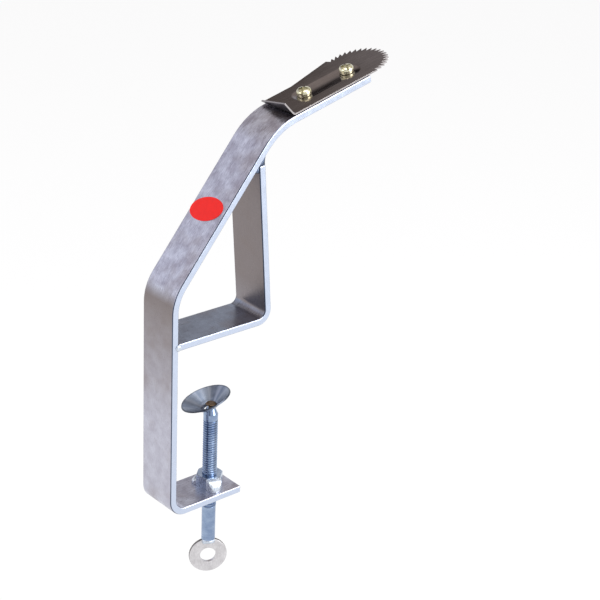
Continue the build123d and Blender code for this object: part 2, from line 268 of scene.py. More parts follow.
def soften(obj, edge_round, angle=SMOOTH_ANGLE):
    """Rounds the sharp edges and shades the rest smooth, with flat faces kept flat."""
    if edge_round:
        apply_modifier(
            obj, "BEVEL", width=edge_round, segments=2, limit_method="ANGLE",
            angle_limit=angle, use_clamp_overlap=True, miter_outer="MITER_ARC",
        )
    activate(obj)
    bpy.ops.object.shade_smooth_by_angle(angle=SMOOTH_ANGLE)
    apply_modifier(obj, "WEIGHTED_NORMAL", keep_sharp=True, weight=80)


def copy_of(node, name):
    """Merged copy of a CAD node's mesh, with its flat triangles joined into faces."""
    obj = bpy.data.objects.new(name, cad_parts[node].data.copy())
    obj.data.name = name
    bpy.context.collection.objects.link(obj)
    obj.data.materials.clear()
    activate(obj)
    bpy.ops.mesh.customdata_custom_splitnormals_clear()
    edit(obj)
    bpy.ops.mesh.remove_doubles(threshold=MERGE)
    bpy.ops.mesh.dissolve_limited(angle_limit=radians(0.5))
    leave_edit()
    return obj


def finish(obj, material, body, slot, *nodes):
    """Gives a piece its material and its body, and hides the CAD nodes that it stands for; the slot is
    not used.
    """
    obj.data.materials.clear()
    obj.data.materials.append(material)
    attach(obj, body)
    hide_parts(*nodes)


# ---- material helpers ---------------------------------------------------------------------------
def add_node(tree, kind, sockets=None, **settings):
    """Adds a node with its settings, socket values and links."""
    node = tree.nodes.new(kind)
    for name, value in settings.items():
        setattr(node, name, value)
    for socket, value in (sockets or {}).items():
        if isinstance(value, bpy.types.NodeSocket):
            tree.links.new(value, node.inputs[socket])
        else:
            node.inputs[socket].default_value = value
    return node


def rgba(colour):
    return (*colour, 1)


# Sockets of the Mix node when it mixes colours.
MIX_A, MIX_B, MIX_OUT = 6, 7, 2


def new_material(name, metallic):
    """Material with its Principled shader and the object's own coordinates."""
    material = bpy.data.materials.new(name)
    material.use_nodes = True
    tree = material.node_tree
    shader = tree.nodes["Principled BSDF"]
    shader.inputs["Metallic"].default_value = metallic
    coords = add_node(tree, "ShaderNodeTexCoord").outputs["Object"]
    return material, tree, shader, coords


def metal(
    name, colour, shade, patch, streak, roughness, bump, patch_mix=0.6, grain=(0.82, 1.08)
):
    """Metal with soft colour patches and fine streaks; patch and the three streak sizes are in
    millimetres along X, Y and Z, roughness and grain are each a lowest and a highest value."""
    material, tree, shader, coords = new_material(name, 1.0)
    clouds = add_node(
        tree, "ShaderNodeTexNoise",
        {"Vector": coords, "Scale": 1 / (patch * MM), "Detail": 4.0, "Roughness": 0.6},
    )
    spread = between(tree, clouds.outputs["Fac"], 0.35, 0.65, patch_mix)
    lines_at = add_node(
        tree, "ShaderNodeMapping",
        {"Vector": coords, "Scale": tuple(1 / (size * MM) for size in streak)},
    )
    lines = add_node(
        tree, "ShaderNodeTexNoise",
        {"Vector": lines_at.outputs["Vector"], "Scale": 1.0, "Detail": 5.0, "Roughness": 0.65},
    ).outputs["Fac"]
    tone = add_node(
        tree, "ShaderNodeMix",
        {0: spread, MIX_A: rgba(colour), MIX_B: rgba(shade)}, data_type="RGBA",
    )
    line_tone, rough = (
        add_node(
            tree, "ShaderNodeMapRange",
            {"Value": lines, "From Min": 0.3, "From Max": 0.7, "To Min": low, "To Max": high},
        ).outputs["Result"]
        for low, high in (grain, roughness)
    )
    toned = add_node(
        tree, "ShaderNodeVectorMath",
        {0: tone.outputs[MIX_OUT], "Scale": line_tone}, operation="SCALE",
    ).outputs["Vector"]
    relief = add_node(
        tree, "ShaderNodeBump", {"Height": lines, "Strength": bump, "Distance": 0.05 * MM}
    )
    tree.links.new(toned, shader.inputs["Base Color"])
    tree.links.new(rough, shader.inputs["Roughness"])
    tree.links.new(relief.outputs["Normal"], shader.inputs["Normal"])
    return material, tree, shader, coords, toned


def paint_where(tree, shader, mask, base, colour):
    """Mixes a second colour over the base where a mask says so."""
    over = add_node(
        tree, "ShaderNodeMix", {0: mask, MIX_A: base, MIX_B: rgba(colour)}, data_type="RGBA"
    )
    tree.links.new(over.outputs[MIX_OUT], shader.inputs["Base Color"])
    return over.outputs[MIX_OUT]


def facing(tree, axis, low, high):
    """Mask that rises as the surface's normal lines up with an axis, on either side of it."""
    normal = add_node(tree, "ShaderNodeTexCoord").outputs["Normal"]
    dot = add_node(tree, "ShaderNodeVectorMath", {0: normal, 1: axis}, operation="DOT_PRODUCT")
    size = add_node(tree, "ShaderNodeMath", {0: dot.outputs["Value"]}, operation="ABSOLUTE")
    return between(tree, size.outputs["Value"], low, high)


def multiply(tree, *masks):
    """Product of masks."""
    product = masks[0]
    for mask in masks[1:]:
        node = add_node(tree, "ShaderNodeMath", {0: product, 1: mask}, operation="MULTIPLY")
        product = node.outputs["Value"]
    return product


def between(tree, value, low, high, top=1.0):
    """Rises from 0 to top as a value goes from low to high, which may lie below low."""
    return add_node(
        tree, "ShaderNodeMapRange",
        {"Value": value, "From Min": low, "From Max": high, "To Max": top},
    ).outputs["Result"]


# ---- materials ----------------------------------------------------------------------------------
def zinc_plated_flat_bar(name, face, cloud):
    """Zinc electroplate on drawn flat bar: a lavender-grey metal, faintly streaked along the bar,
    clouded with brown and browner up the upright, whose sheared edges are paler and parted from
    the outer face by a thin dark line of painted reflection."""
    colours = bpy.context.scene.scraper_colours
    material, tree, shader, coords, base = metal(
        name, face, cloud, 7, (3.2, 0.45, 3.2), (0.24, 0.42), 0.4,
        patch_mix=0.85, grain=(0.72, 1.16),
    )
    blotches = add_node(
        tree, "ShaderNodeTexNoise", {"Vector": coords, "Scale": 1 / (16 * MM), "Detail": 7.0}
    )
    upright = facing(tree, (1, 0, 0), 0.9, 0.98)
    calmed = between(tree, upright, 0.0, 1.0, 0.55)
    shade = paint_where(tree, shader, calmed, base, colours.zinc_calm)
    browned = between(tree, blotches.outputs["Fac"], 0.5, 0.7, 0.35)
    shade = paint_where(tree, shader, browned, shade, colours.zinc_blotch)
    height = add_node(tree, "ShaderNodeSeparateXYZ", {"Vector": coords}).outputs["Z"]
    upper = multiply(tree, upright, between(tree, height, -45 * MM, 22 * MM, 0.85))
    shade = paint_where(tree, shader, upper, shade, colours.zinc_brown)
    edges = facing(tree, (0, 1, 0), 0.75, 0.95)
    shade = paint_where(tree, shader, edges, shade, colours.zinc_edge)
    # Painted reflection: a thin dark line on the rounded corner between the outer face and the edge,
    # standing for dark surroundings mirrored there.
    normal = add_node(tree, "ShaderNodeTexCoord").outputs["Normal"]
    ways = add_node(tree, "ShaderNodeSeparateXYZ", {"Vector": normal})
    sideways = add_node(
        tree, "ShaderNodeMath", {0: ways.outputs["Y"]}, operation="ABSOLUTE"
    ).outputs["Value"]
    painted_reflection_mask = multiply(
        tree, between(tree, ways.outputs["X"], -0.25, -0.45), between(tree, sideways, 0.2, 0.38),
        between(tree, sideways, 0.97, 0.87, 0.9),
    )
    paint_where(tree, shader, painted_reflection_mask, shade, colours.dark_reflection_line)
    return material


def weld_bead(name, colour, tint):
    """Arc weld under the same plating: a rippled bead with patches. It is made in two colours:
    darker on the brace as painted shade, and near white elsewhere as painted highlight."""
    return metal(name, colour, tint, 2.2, (0.9, 0.9, 0.9), (0.28, 0.5), 0.6)[0]


def blue_zinc_spindle():
    """Turned and blue-zinc plated screw: a cold blue metal with fine rings of the lathe."""
    colours = bpy.context.scene.scraper_colours
    return metal(
        "blue_zinc_spindle", colours.spindle, colours.spindle_shade, 7, (6, 6, 0.25),
        (0.12, 0.24), 0.2,
    )[0]


def blue_zinc_nut():
    """Cold-forged and plated nut: the screw's blue zinc, with rougher pressed faces."""
    colours = bpy.context.scene.scraper_colours
    return metal(
        "blue_zinc_nut", colours.nut, colours.nut_shade, 4, (1.2, 1.2, 3), (0.18, 0.3), 0.25
    )[0]


def tumbled_steel_ring():
    """Stamped and tumbled steel washer: satin light grey with short random scratches and painted
    shade on its outer edge."""
    colours = bpy.context.scene.scraper_colours
    material, tree, shader, coords, base = metal(
        "tumbled_steel_ring", colours.eye, colours.eye_shade, 3.5, (0.5, 0.5, 1.6),
        (0.3, 0.46), 0.5,
    )
    # Painted shade: the ring's outer edge, whose faces turn away from its axis, is darkened.
    axis = (cos(EYE_AZIMUTH), sin(EYE_AZIMUTH), 0)
    reach = add_node(
        tree, "ShaderNodeVectorMath", {0: coords, 1: (0, 0, EYE_Z * MM)}, operation="DISTANCE"
    )
    rim = multiply(
        tree, facing(tree, axis, 0.8, 0.3),
        between(tree, reach.outputs["Value"], 6 * MM, 8 * MM, 0.9),
    )
    paint_where(tree, shader, rim, base, colours.eye_rim_painted_shade)
    return material


def pressed_zinc_cup():
    """Pressed sheet under zinc: dark blue-grey, with soft bright radial rays of painted reflection and
    a dark rim.
    """
    colours = bpy.context.scene.scraper_colours
    material, tree, shader, coords, base = metal(
        "pressed_zinc_cup", colours.cup, colours.cup_shade, 9, (3, 3, 3), (0.3, 0.4), 0.03
    )
    back = CUP.inverted()
    local = add_node(
        tree, "ShaderNodeMapping",
        {"Vector": coords, "Rotation": back.to_euler(), "Location": back.translation},
    )
    flat = add_node(
        tree, "ShaderNodeVectorMath",
        {0: local.outputs["Vector"], 1: (1, 1, 0)}, operation="MULTIPLY",
    ).outputs["Vector"]
    round_way = add_node(tree, "ShaderNodeVectorMath", {0: flat}, operation="NORMALIZE")
    # Painted reflection: soft bright rays round the cup's axis stand for light mirrored in its cone.
    rays = add_node(
        tree, "ShaderNodeTexNoise",
        {"Vector": round_way.outputs["Vector"], "Scale": 2.6, "Detail": 3.0, "Roughness": 0.55},
    )
    strength = between(tree, rays.outputs["Fac"], 0.42, 0.7, 0.5)
    shade = paint_where(tree, shader, strength, base, colours.cup_painted_reflection)
    reach = add_node(tree, "ShaderNodeVectorMath", {0: flat}, operation="LENGTH")
    rim = between(
        tree, reach.outputs["Value"], (CUP_RADIUS - 0.8) * MM, (CUP_RADIUS - 0.3) * MM, 0.85
    )
    paint_where(tree, shader, rim, shade, colours.cup_rim)
    return material


def browned_rivet():
    """Bare steel rivet head, browned by the heat of setting it."""
    colours = bpy.context.scene.scraper_colours
    return metal(
        "browned_rivet", colours.rivet, colours.rivet_shade, 1.6, (0.8, 0.8, 0.8), (0.3, 0.5), 0.5
    )[0]


def polished_stainless_blade():
    """Polished stainless sheet: a dark, mirror-like face with faint polishing lines along the arm,
    bright sheared edges round the teeth, and painted shade on the back of the tail."""
    colours = bpy.context.scene.scraper_colours
    material, tree, shader, _, base = metal(
        "polished_stainless_blade", colours.blade, colours.blade_shade, 16, (9, 0.5, 9),
        (0.07, 0.17), 0.12,
    )
    out = (ARM.to_3x3() @ Vector((0, 0, 1))).normalized()
    tail = (ARM.to_3x3() @ Vector((cos(TAIL_LEAN), 0, sin(TAIL_LEAN)))).normalized()
    off_face = facing(tree, out, 0.85, 0.4)
    off_tail = facing(tree, tail, 0.9, 0.6)
    edges = multiply(tree, off_face, off_tail)
    shade = paint_where(tree, shader, edges, base, colours.blade_edge)
    # Painted shade: the back of the tail is darkened, standing for the shade on it and the dark bend
    # mirrored in it.
    paint_where(tree, shader, facing(tree, tail, 0.75, 0.95), shade, colours.blade_tail_painted_shade)
    return material


def yellow_zinc_fastener():
    """Yellow-passivated zinc on cold-headed screws: pale gold, with greenish and pinkish clouds."""
    colours = bpy.context.scene.scraper_colours
    return metal(
        "yellow_zinc_fastener", colours.yellow, colours.yellow_shade, 2.4, (1.5, 1.5, 0.6),
        (0.14, 0.3), 0.25,
    )[0]


def red_vinyl_label():
    """Gloss vinyl sticker: one plain red under a clear coat, with a very slight orange-peel skin."""
    colours = bpy.context.scene.scraper_colours
    material, tree, shader, coords = new_material("red_vinyl_label", 0.0)
    shader.inputs["Coat Weight"].default_value = 0.12
    shader.inputs["Coat Roughness"].default_value = 0.08
    shader.inputs["Specular IOR Level"].default_value = 0.25
    mottle = add_node(
        tree, "ShaderNodeTexNoise", {"Vector": coords, "Scale": 1 / (2.5 * MM), "Detail": 3.0}
    )
    tone = add_node(
        tree, "ShaderNodeMix",
        {0: mottle.outputs["Fac"], MIX_A: rgba(colours.label), MIX_B: rgba(colours.label_shade)},
        data_type="RGBA",
    )
    rough = add_node(
        tree, "ShaderNodeMapRange", {"Value": mottle.outputs["Fac"], "To Min": 0.25, "To Max": 0.4}
    )
    skin = add_node(
        tree, "ShaderNodeTexNoise", {"Vector": coords, "Scale": 1 / (0.7 * MM), "Detail": 2.0}
    )
    relief = add_node(
        tree, "ShaderNodeBump",
        {"Height": skin.outputs["Fac"], "Strength": 0.12, "Distance": 0.03 * MM},
    )
    tree.links.new(tone.outputs[MIX_OUT], shader.inputs["Base Color"])
    tree.links.new(rough.outputs["Result"], shader.inputs["Roughness"])
    tree.links.new(relief.outputs["Normal"], shader.inputs["Normal"])
    return material


# ---- properties ---------------------------------------------------------------------------------
def length_property(name, description, millimetres):
    return FloatProperty(
        name=name, description=description, default=millimetres * MM, min=0.0, precision=5,
        unit="LENGTH", subtype="DISTANCE",
    )


def colour_property(name, description, code):
    return FloatVectorProperty(
        name=name, description=description, default=linear(code), size=3, min=0.0, max=1.0,
        subtype="COLOR",
    )


class ScraperSizes(bpy.types.PropertyGroup):
    """Sizes of the pieces' finer forms."""

    bar_round: length_property("Bar edge", "Rounding of the flat bars' edges", 0.7)
    blade_round: length_property("Blade edge", "Rounding of the blade's sheared edges", 0.07)
    nut_round: length_property("Nut edge", "Rounding of the nuts' edges", 0.2)
    eye_round: length_property("Eye edge", "Rounding of the eye's edges", 0.28)
    washer_round: length_property("Washer edge", "Rounding of the lock washers' edges", 0.15)
    thread_pitch: length_property("Thread pitch", "Advance of the clamp screw in a turn", 1.411)
    crest_radius: length_property("Crest radius", "Radius over the clamp screw's thread", 3.97)
    root_radius: length_property("Root radius", "Radius at the foot of the thread", 3.3)
    shank_radius: length_property("Shank radius", "Radius of the clamp screw's plain shank", 3.82)
    slot_width: length_property("Slot width", "Width of the slot and cross in the blade screws", 1.1)
    slot_depth: length_property("Slot depth", "Depth of the slot and cross", 1.2)
    weld_grain: length_property("Weld detail", "Size of the cells that form a weld bead", 0.3)
    weld_lump: length_property("Weld lumps", "How far a weld bead's ripples stand out", 0.5)
    floor_drop: length_property("Floor drop", "Depth of the floor below the jaw", 190.0)
    round_steps: IntProperty(
        name="Round steps", description="Facets round a turned piece", default=96, min=12
    )


class ScraperColours(bpy.types.PropertyGroup):
    """Colours of the finishes."""

    zinc: colour_property("Zinc", "Flat bar's plating", "#D4D6E3")
    zinc_cloud: colour_property("Zinc clouds", "Clouds in the bar's plating", "#AAA7B5")
    zinc_blotch: colour_property("Zinc blotches", "Brown blotches in the bar's plating", "#8F7F78")
    zinc_calm: colour_property("Zinc calm", "Evener plating of the upright faces", "#BCBBC8")
    zinc_brown: colour_property("Zinc brown", "Browner plating up the upright", "#7E736F")
    zinc_edge: colour_property("Zinc edge", "Sheared edges of the bar", "#C9D3E6")
    # Painted shade: the brace bar's plating and its clouds are darker than the main bar's, standing for
    # the shade under the incline.
    brace: colour_property("Brace", "Plating of the brace bar", "#98A0B0")
    brace_cloud: colour_property("Brace clouds", "Clouds in the brace bar's plating", "#838794")
    # Painted reflection: the dark line on the bars' rounded corners stands for dark surroundings
    # mirrored there.
    dark_reflection_line: colour_property("Dark reflection line", "Line between the bar's outer face and its edge", "#2C3850")
    # Painted highlight: the bright beads are near white, lighter than the plating round them, standing
    # for light on them; their duller patches come next.
    weld: colour_property("Weld", "Bright weld beads", "#E2E9F2")
    weld_shade: colour_property("Weld shade", "Duller patches of the bright beads", "#B8C4D4")
    # Painted shade: the beads on the brace are dark, standing for the shade in its corners; the tints
    # next are clouds in that painted shade.
    weld_painted_shade: colour_property("Dark weld", "Heat-darkened weld beads", "#626E84")
    weld_painted_shade_clouds: colour_property("Weld tint", "Heat tints on the dark beads", "#3E4658")
    nut: colour_property("Nut", "Blue zinc on the clamp nut", "#C6D3E4")
    nut_shade: colour_property("Nut shade", "Duller patches of the clamp nut", "#8E9FB8")
    # Painted shade: the eye's outer edge is darkened to stand for the shade and dark surroundings on
    # it.
    eye_rim_painted_shade: colour_property("Eye rim", "Dark outer edge of the eye", "#5A5450")
    cup_rim: colour_property("Cup rim", "Dark rim of the cup", "#454B57")
    # Painted shade: the back of the tail is darkened, standing for the shade on it and the dark bend
    # mirrored in it.
    blade_tail_painted_shade: colour_property("Blade tail", "Darker back of the blade's tail", "#3A302C")
    spindle: colour_property("Clamp screw", "Blue zinc on the clamp screw", "#A2B4CE")
    spindle_shade: colour_property("Clamp screw shade", "Darker blue on the clamp screw", "#6F84A8")
    eye: colour_property("Eye", "Satin steel of the eye", "#DEDCDE")
    eye_shade: colour_property("Eye shade", "Duller patches of the eye", "#C2BFC1")
    cup: colour_property("Cup", "Dark plating of the cup", "#8A94A6")
    cup_shade: colour_property("Cup shade", "Darkest plating of the cup", "#626D80")
    # Painted reflection: bright rays in the cup, standing for light mirrored in its cone.
    cup_painted_reflection: colour_property("Cup rays", "Bright rays in the cup", "#C4CBD6")
    rivet: colour_property("Rivet", "Browned steel of the rivet", "#86725E")
    rivet_shade: colour_property("Rivet shade", "Darker brown of the rivet", "#54402F")
    blade: colour_property("Blade", "Polished face of the blade", "#9A9290")
    blade_shade: colour_property("Blade shade", "Duller patches of the blade", "#857C7A")
    blade_edge: colour_property("Blade edge", "Sheared edges of the blade", "#BDB8B8")
    yellow: colour_property("Yellow zinc", "Plating of the blade's fasteners", "#ECE8CC")
    yellow_shade: colour_property("Yellow zinc shade", "Clouds in the yellow plating", "#BFB982")
    label: colour_property("Label", "Plain label", "#EE1C12")
    label_shade: colour_property("Label shade", "Deeper red of the label", "#DC160E")
    floor: colour_property("Floor", "Floor and background", "#F4F4F5")


def power_property(name, description, watts):
    return FloatProperty(
        name=name, description=description, default=watts, min=0.0, unit="POWER"
    )


class ScraperStudio(bpy.types.PropertyGroup):
    """Strength of the studio's lamps."""

    key_power: power_property("Key", "Power of the lamp on the right", 9.0)
    fill_power: power_property("Fill", "Power of the lamp on the left", 2.5)
    top_power: power_property("Top", "Power of the lamp overhead", 6.0)


# ---- frame pieces -------------------------------------------------------------------------------
def bent_sides(corners, inner_radii, inside):
    """Outer and inner lines of a bent bar's side, in millimetres, from the corners of its outer
    face; inside is 1 where the bar lies to the left of that line and -1 to its right."""
    outer, inner = [], []
    square = [
        Vector((-(b - a).z, 0, (b - a).x)).normalized() * inside
        for a, b in zip(corners, corners[1:])
    ]
    outer.append(corners[0])
    inner.append(corners[0] + square[0] * BAR_THICKNESS)
    for i, radius in enumerate(inner_radii, start=1):
        before, after = square[i - 1], square[i]
        turn = before.angle(after)
        reach = (radius + BAR_THICKNESS) / cos(turn / 2)
        centre = corners[i] + (before + after).normalized() * reach
        steps = max(int(degrees(turn) / BEND_STEP), 2)
        for step in range(steps + 1):
            way = before.slerp(after, step / steps)
            outer.append(centre - way * (radius + BAR_THICKNESS))
            inner.append(centre - way * radius)
    outer.append(corners[-1])
    inner.append(corners[-1] + square[-1] * BAR_THICKNESS)
    return outer, inner


def bent_bar(name, corners, inner_radii, inside):
    """Flat bar: its side outline filled, extruded across the bar and rounded along its edges."""
    outer, inner = bent_sides(corners, inner_radii, inside)
    loop = outer + inner[::-1]
    bar = outline(name, [(point.x, point.z) for point in loop])
    bpy.ops.mesh.select_all(action="SELECT")
    bpy.ops.mesh.edge_face_add()
    bpy.ops.transform.translate(value=(0, -BAR_WIDTH / 2 * MM, 0))
    bpy.ops.mesh.extrude_region_move(TRANSFORM_OT_translate={"value": (0, BAR_WIDTH * MM, 0)})
    close_up()
    apply_modifier(
        bar, "BEVEL", width=bpy.context.scene.scraper_sizes.bar_round, segments=3,
        limit_method="ANGLE", angle_limit=radians(40),
    )
    return bar


def drill(obj, matrix, radius):
    """Cuts a round hole through an object along a frame's z axis; radius is in millimetres."""
    bpy.ops.object.select_all(action="DESELECT")
    bpy.ops.mesh.primitive_cylinder_add(
        vertices=48, radius=radius * MM, depth=6 * BAR_THICKNESS * MM
    )
    cutter = bpy.context.object
    cutter.matrix_world = matrix
    apply_modifier(obj, "BOOLEAN", object=cutter, operation="DIFFERENCE", solver="EXACT")
    bpy.data.objects.remove(cutter)


class SCRAPER_OT_bars(bpy.types.Operator):
    """Bends, drills and plates the main bar and the brace bar"""

    bl_idname = "scraper.bars"
    bl_label = "Flat bars"

    def execute(self, context):
        colours = context.scene.scraper_colours
        plain = zinc_plated_flat_bar("zinc_plated_flat_bar", colours.zinc, colours.zinc_cloud)
        # Painted shade: a darker copy of the bar's material for the brace bar, standing for the shade
        # under the incline.
        shaded_brace_zinc = zinc_plated_flat_bar("zinc_flat_bar_painted_shade", colours.brace, colours.brace_cloud)
        main = bent_bar("bent_main_bar", [
            Vector((FOOT_END_X, 0, FOOT_UNDERSIDE_Z)), Vector((UPRIGHT_X, 0, FOOT_UNDERSIDE_Z)),
            INCLINE_START, ARM_START, ARM_START + direction(ARM_ANGLE) * ARM_LENGTH,
        ], (FOOT_BEND_RADIUS, INCLINE_BEND_RADIUS, ARM_BEND_RADIUS), -1)
        drill(main, Matrix.Translation((0, 0, FOOT_UNDERSIDE_Z * MM)), FOOT_HOLE_RADIUS)
        for s in (REAR_SCREW_S, FRONT_SCREW_S):
            drill(main, ARM @ Matrix.Translation((s * MM, 0, 0)), BLADE_HOLE_RADIUS)
        along = direction(INCLINE_ANGLE)
        inward = direction(INCLINE_ANGLE + 90)
        inner_top = ARM_START - along * BRACE_SETBACK + inward * BAR_THICKNESS
        span = inner_top - BRACE_CORNER
        lean = -degrees(atan2(span.x, span.z) + asin(BAR_THICKNESS / span.length))
        outer_top = inner_top + direction(90 - lean) * BAR_THICKNESS
        brace = bent_bar("jaw_and_brace_bar", [
            Vector((UPRIGHT_X + BAR_THICKNESS, 0, 0)), BRACE_CORNER, outer_top,
        ], (BRACE_BEND_RADIUS,), 1)
        for bar, node, material in ((main, "main_bar", plain), (brace, "brace_bar", shaded_brace_zinc)):
            soften(bar, 0.0)
            finish(bar, material, "frame", "zinc_bar", node)
        return {"FINISHED"}


def bead_from(node, name, grain, lump, swell):
    """Rippled weld bead from a weld node's faceted form, swollen so that it runs into the metal
    on both sides of it; grain, lump and swell are in metres."""
    bead = copy_of(node, name)
    apply_modifier(bead, "REMESH", mode="VOXEL", voxel_size=grain)
    apply_modifier(bead, "SMOOTH", factor=0.6, iterations=6)
    apply_modifier(bead, "DISPLACE", strength=swell, mid_level=0.0)
    ripples = bpy.data.textures.new(name + "_ripples", "CLOUDS")
    ripples.noise_scale = 1.9 * MM
    ripples.noise_depth = 1
    apply_modifier(
        bead, "DISPLACE", texture=ripples, texture_coords="LOCAL", strength=lump, mid_level=0.5
    )
    apply_modifier(bead, "SMOOTH", factor=0.5, iterations=2)
    activate(bead)
    bpy.ops.object.shade_smooth()
    return bead


class SCRAPER_OT_welds(bpy.types.Operator):
    """Forms the rippled weld beads of the brace, the jaw, the nut and the eye"""

    bl_idname = "scraper.welds"
    bl_label = "Weld beads"

    def execute(self, context):
        sizes = context.scene.scraper_sizes
        colours = context.scene.scraper_colours
        # Two copies of one bead material: a dark one as painted shade on the brace, and a near-white
        # one as painted highlight on the jaw, the nut and the eye.
        dark = weld_bead("weld_bead_painted_shade", colours.weld_painted_shade, colours.weld_painted_shade_clouds)
        bright = weld_bead("weld_bead_painted_highlight", colours.weld, colours.weld_shade)
        for node, name, body, swell, ripple, material in (
            ("brace_weld", "brace_weld_beads", "frame", 0.35, 1.0, dark),
            ("jaw_weld", "jaw_weld_tacks", "frame", 0.02, 0.15, bright),
            ("nut_weld", "nut_weld_lumps", "frame", 0.3, 0.3, bright),
            ("eye_weld", "eye_weld_lumps", "screw", 0.3, 0.3, bright),
        ):
            bead = bead_from(node, name, sizes.weld_grain, sizes.weld_lump * ripple, swell * MM)
            finish(bead, material, body, "weld", node)
        return {"FINISHED"}


class SCRAPER_OT_clamp_nut(bpy.types.Operator):
    """Rounds and plates the clamp nut"""

    bl_idname = "scraper.clamp_nut"
    bl_label = "Clamp nut"

    def execute(self, context):
        nut = copy_of("clamp_nut", "forged_clamp_nut")
        soften(nut, context.scene.scraper_sizes.nut_round)
        finish(nut, blue_zinc_nut(), "frame", "zinc_screw", "clamp_nut")
        return {"FINISHED"}


class SCRAPER_OT_label(bpy.types.Operator):
    """Makes the plain oval label"""

    bl_idname = "scraper.label"
    bl_label = "Label"

    def execute(self, context):
        label = copy_of("oval_label", "plain_oval_label")
        soften(label, 0.06 * MM)
        finish(label, red_vinyl_label(), "frame", "label", "oval_label")
        return {"FINISHED"}


# ---- blade pieces -------------------------------------------------------------------------------
class SCRAPER_OT_blade(bpy.types.Operator):
    """Rounds and polishes the serrated blade"""

    bl_idname = "scraper.blade"
    bl_label = "Serrated blade"

    def execute(self, context):
        blade = copy_of("grater_blade", "serrated_blade")
        soften(blade, context.scene.scraper_sizes.blade_round)
        finish(blade, polished_stainless_blade(), "frame", "blade_steel", "grater_blade")
        return {"FINISHED"}


def pan_head_screw(name, angle):
    """Pan-head screw on Z with its seat at HEAD_SEAT_H: rounded head, slot and short cross."""
    sizes = bpy.context.scene.scraper_sizes
    top = HEAD_SEAT_H + HEAD_HEIGHT
    crown = cut_corners([
        (HEAD_RADIUS, HEAD_SEAT_H), (HEAD_RADIUS, HEAD_SEAT_H + 1.1), (3.5, top - 0.5),
        (1.9, top), (0.0, top),
    ], 3)
    shank = [
        (0.0, SCREW_END_H), (SCREW_RADIUS - 0.4, SCREW_END_H), (SCREW_RADIUS, SCREW_END_H + 0.4),
        (SCREW_RADIUS, HEAD_SEAT_H),
    ]
    screw = turned(name, shank + crown)
    for length, turn in ((12 * MM, angle), (4.8 * MM, angle + 90)):
        bpy.ops.object.select_all(action="DESELECT")
        bpy.ops.mesh.primitive_cube_add(
            size=1, location=(0, 0, top * MM), rotation=(0, 0, radians(turn)),
            scale=(length, sizes.slot_width, 2 * sizes.slot_depth),
        )
        cutter = bpy.context.object
        apply_modifier(screw, "BOOLEAN", object=cutter, operation="DIFFERENCE", solver="EXACT")
        bpy.data.objects.remove(cutter)
    return screw


class SCRAPER_OT_blade_fasteners(bpy.types.Operator):
    """Makes the blade's two screws, split washers and nuts"""

    bl_idname = "scraper.blade_fasteners"
    bl_label = "Blade fasteners"

    def execute(self, context):
        sizes = context.scene.scraper_sizes
        material = yellow_zinc_fastener()
        for end, s, angle in (("rear", REAR_SCREW_S, 39.0), ("front", FRONT_SCREW_S, 65.0)):
            screw = pan_head_screw(f"{end}_pan_head_screw", angle)
            place(screw, ARM @ Matrix.Translation((s * MM, 0, 0)))
            soften(screw, 0.1 * MM, angle=radians(50))
            finish(screw, material, "frame", "yellow_zinc", f"{end}_blade_screw")
            washer = copy_of(f"{end}_lock_washer", f"{end}_split_washer")
            soften(washer, sizes.washer_round)
            finish(washer, material, "frame", "yellow_zinc", f"{end}_lock_washer")
            nut = copy_of(f"{end}_blade_nut", f"{end}_hexagon_nut")
            soften(nut, sizes.washer_round)
            finish(nut, material, "frame", "yellow_zinc", f"{end}_blade_nut")
        return {"FINISHED"}


# ---- clamp pieces -------------------------------------------------------------------------------
def helical_thread(name, start_z, end_z):
    """Threaded rod between two heights in millimetres, its thread a swept tooth."""
    sizes = bpy.context.scene.scraper_sizes
    pitch = sizes.thread_pitch / MM
    root, crest = sizes.root_radius / MM, sizes.crest_radius / MM
    turns = int((start_z - end_z) / pitch) + 4
    base = end_z - 2 * pitch
    tooth = [(root, 0.0), (root, 0.12), (crest, 0.44), (crest, 0.56), (root, 0.88), (root, 1.0)]
    rod = outline(name, [(r, base + share * pitch) for r, share in tooth])
    leave_edit()
    steps = sizes.round_steps // 2
    apply_modifier(
        rod, "SCREW", angle=2 * pi, screw_offset=pitch * MM, iterations=turns, steps=steps,
        render_steps=steps, axis="Z", use_merge_vertices=False,
    )
    edit(rod)
    bpy.ops.mesh.remove_doubles(threshold=MERGE)
    bpy.ops.mesh.select_all(action="SELECT")
    bpy.ops.mesh.bisect(
        plane_co=(0, 0, start_z * MM), plane_no=(0, 0, 1), use_fill=True, clear_outer=True
    )
    bpy.ops.mesh.select_all(action="SELECT")
    bpy.ops.mesh.bisect(
        plane_co=(0, 0, end_z * MM), plane_no=(0, 0, 1), use_fill=True, clear_inner=True
    )
    close_up()
    return rod


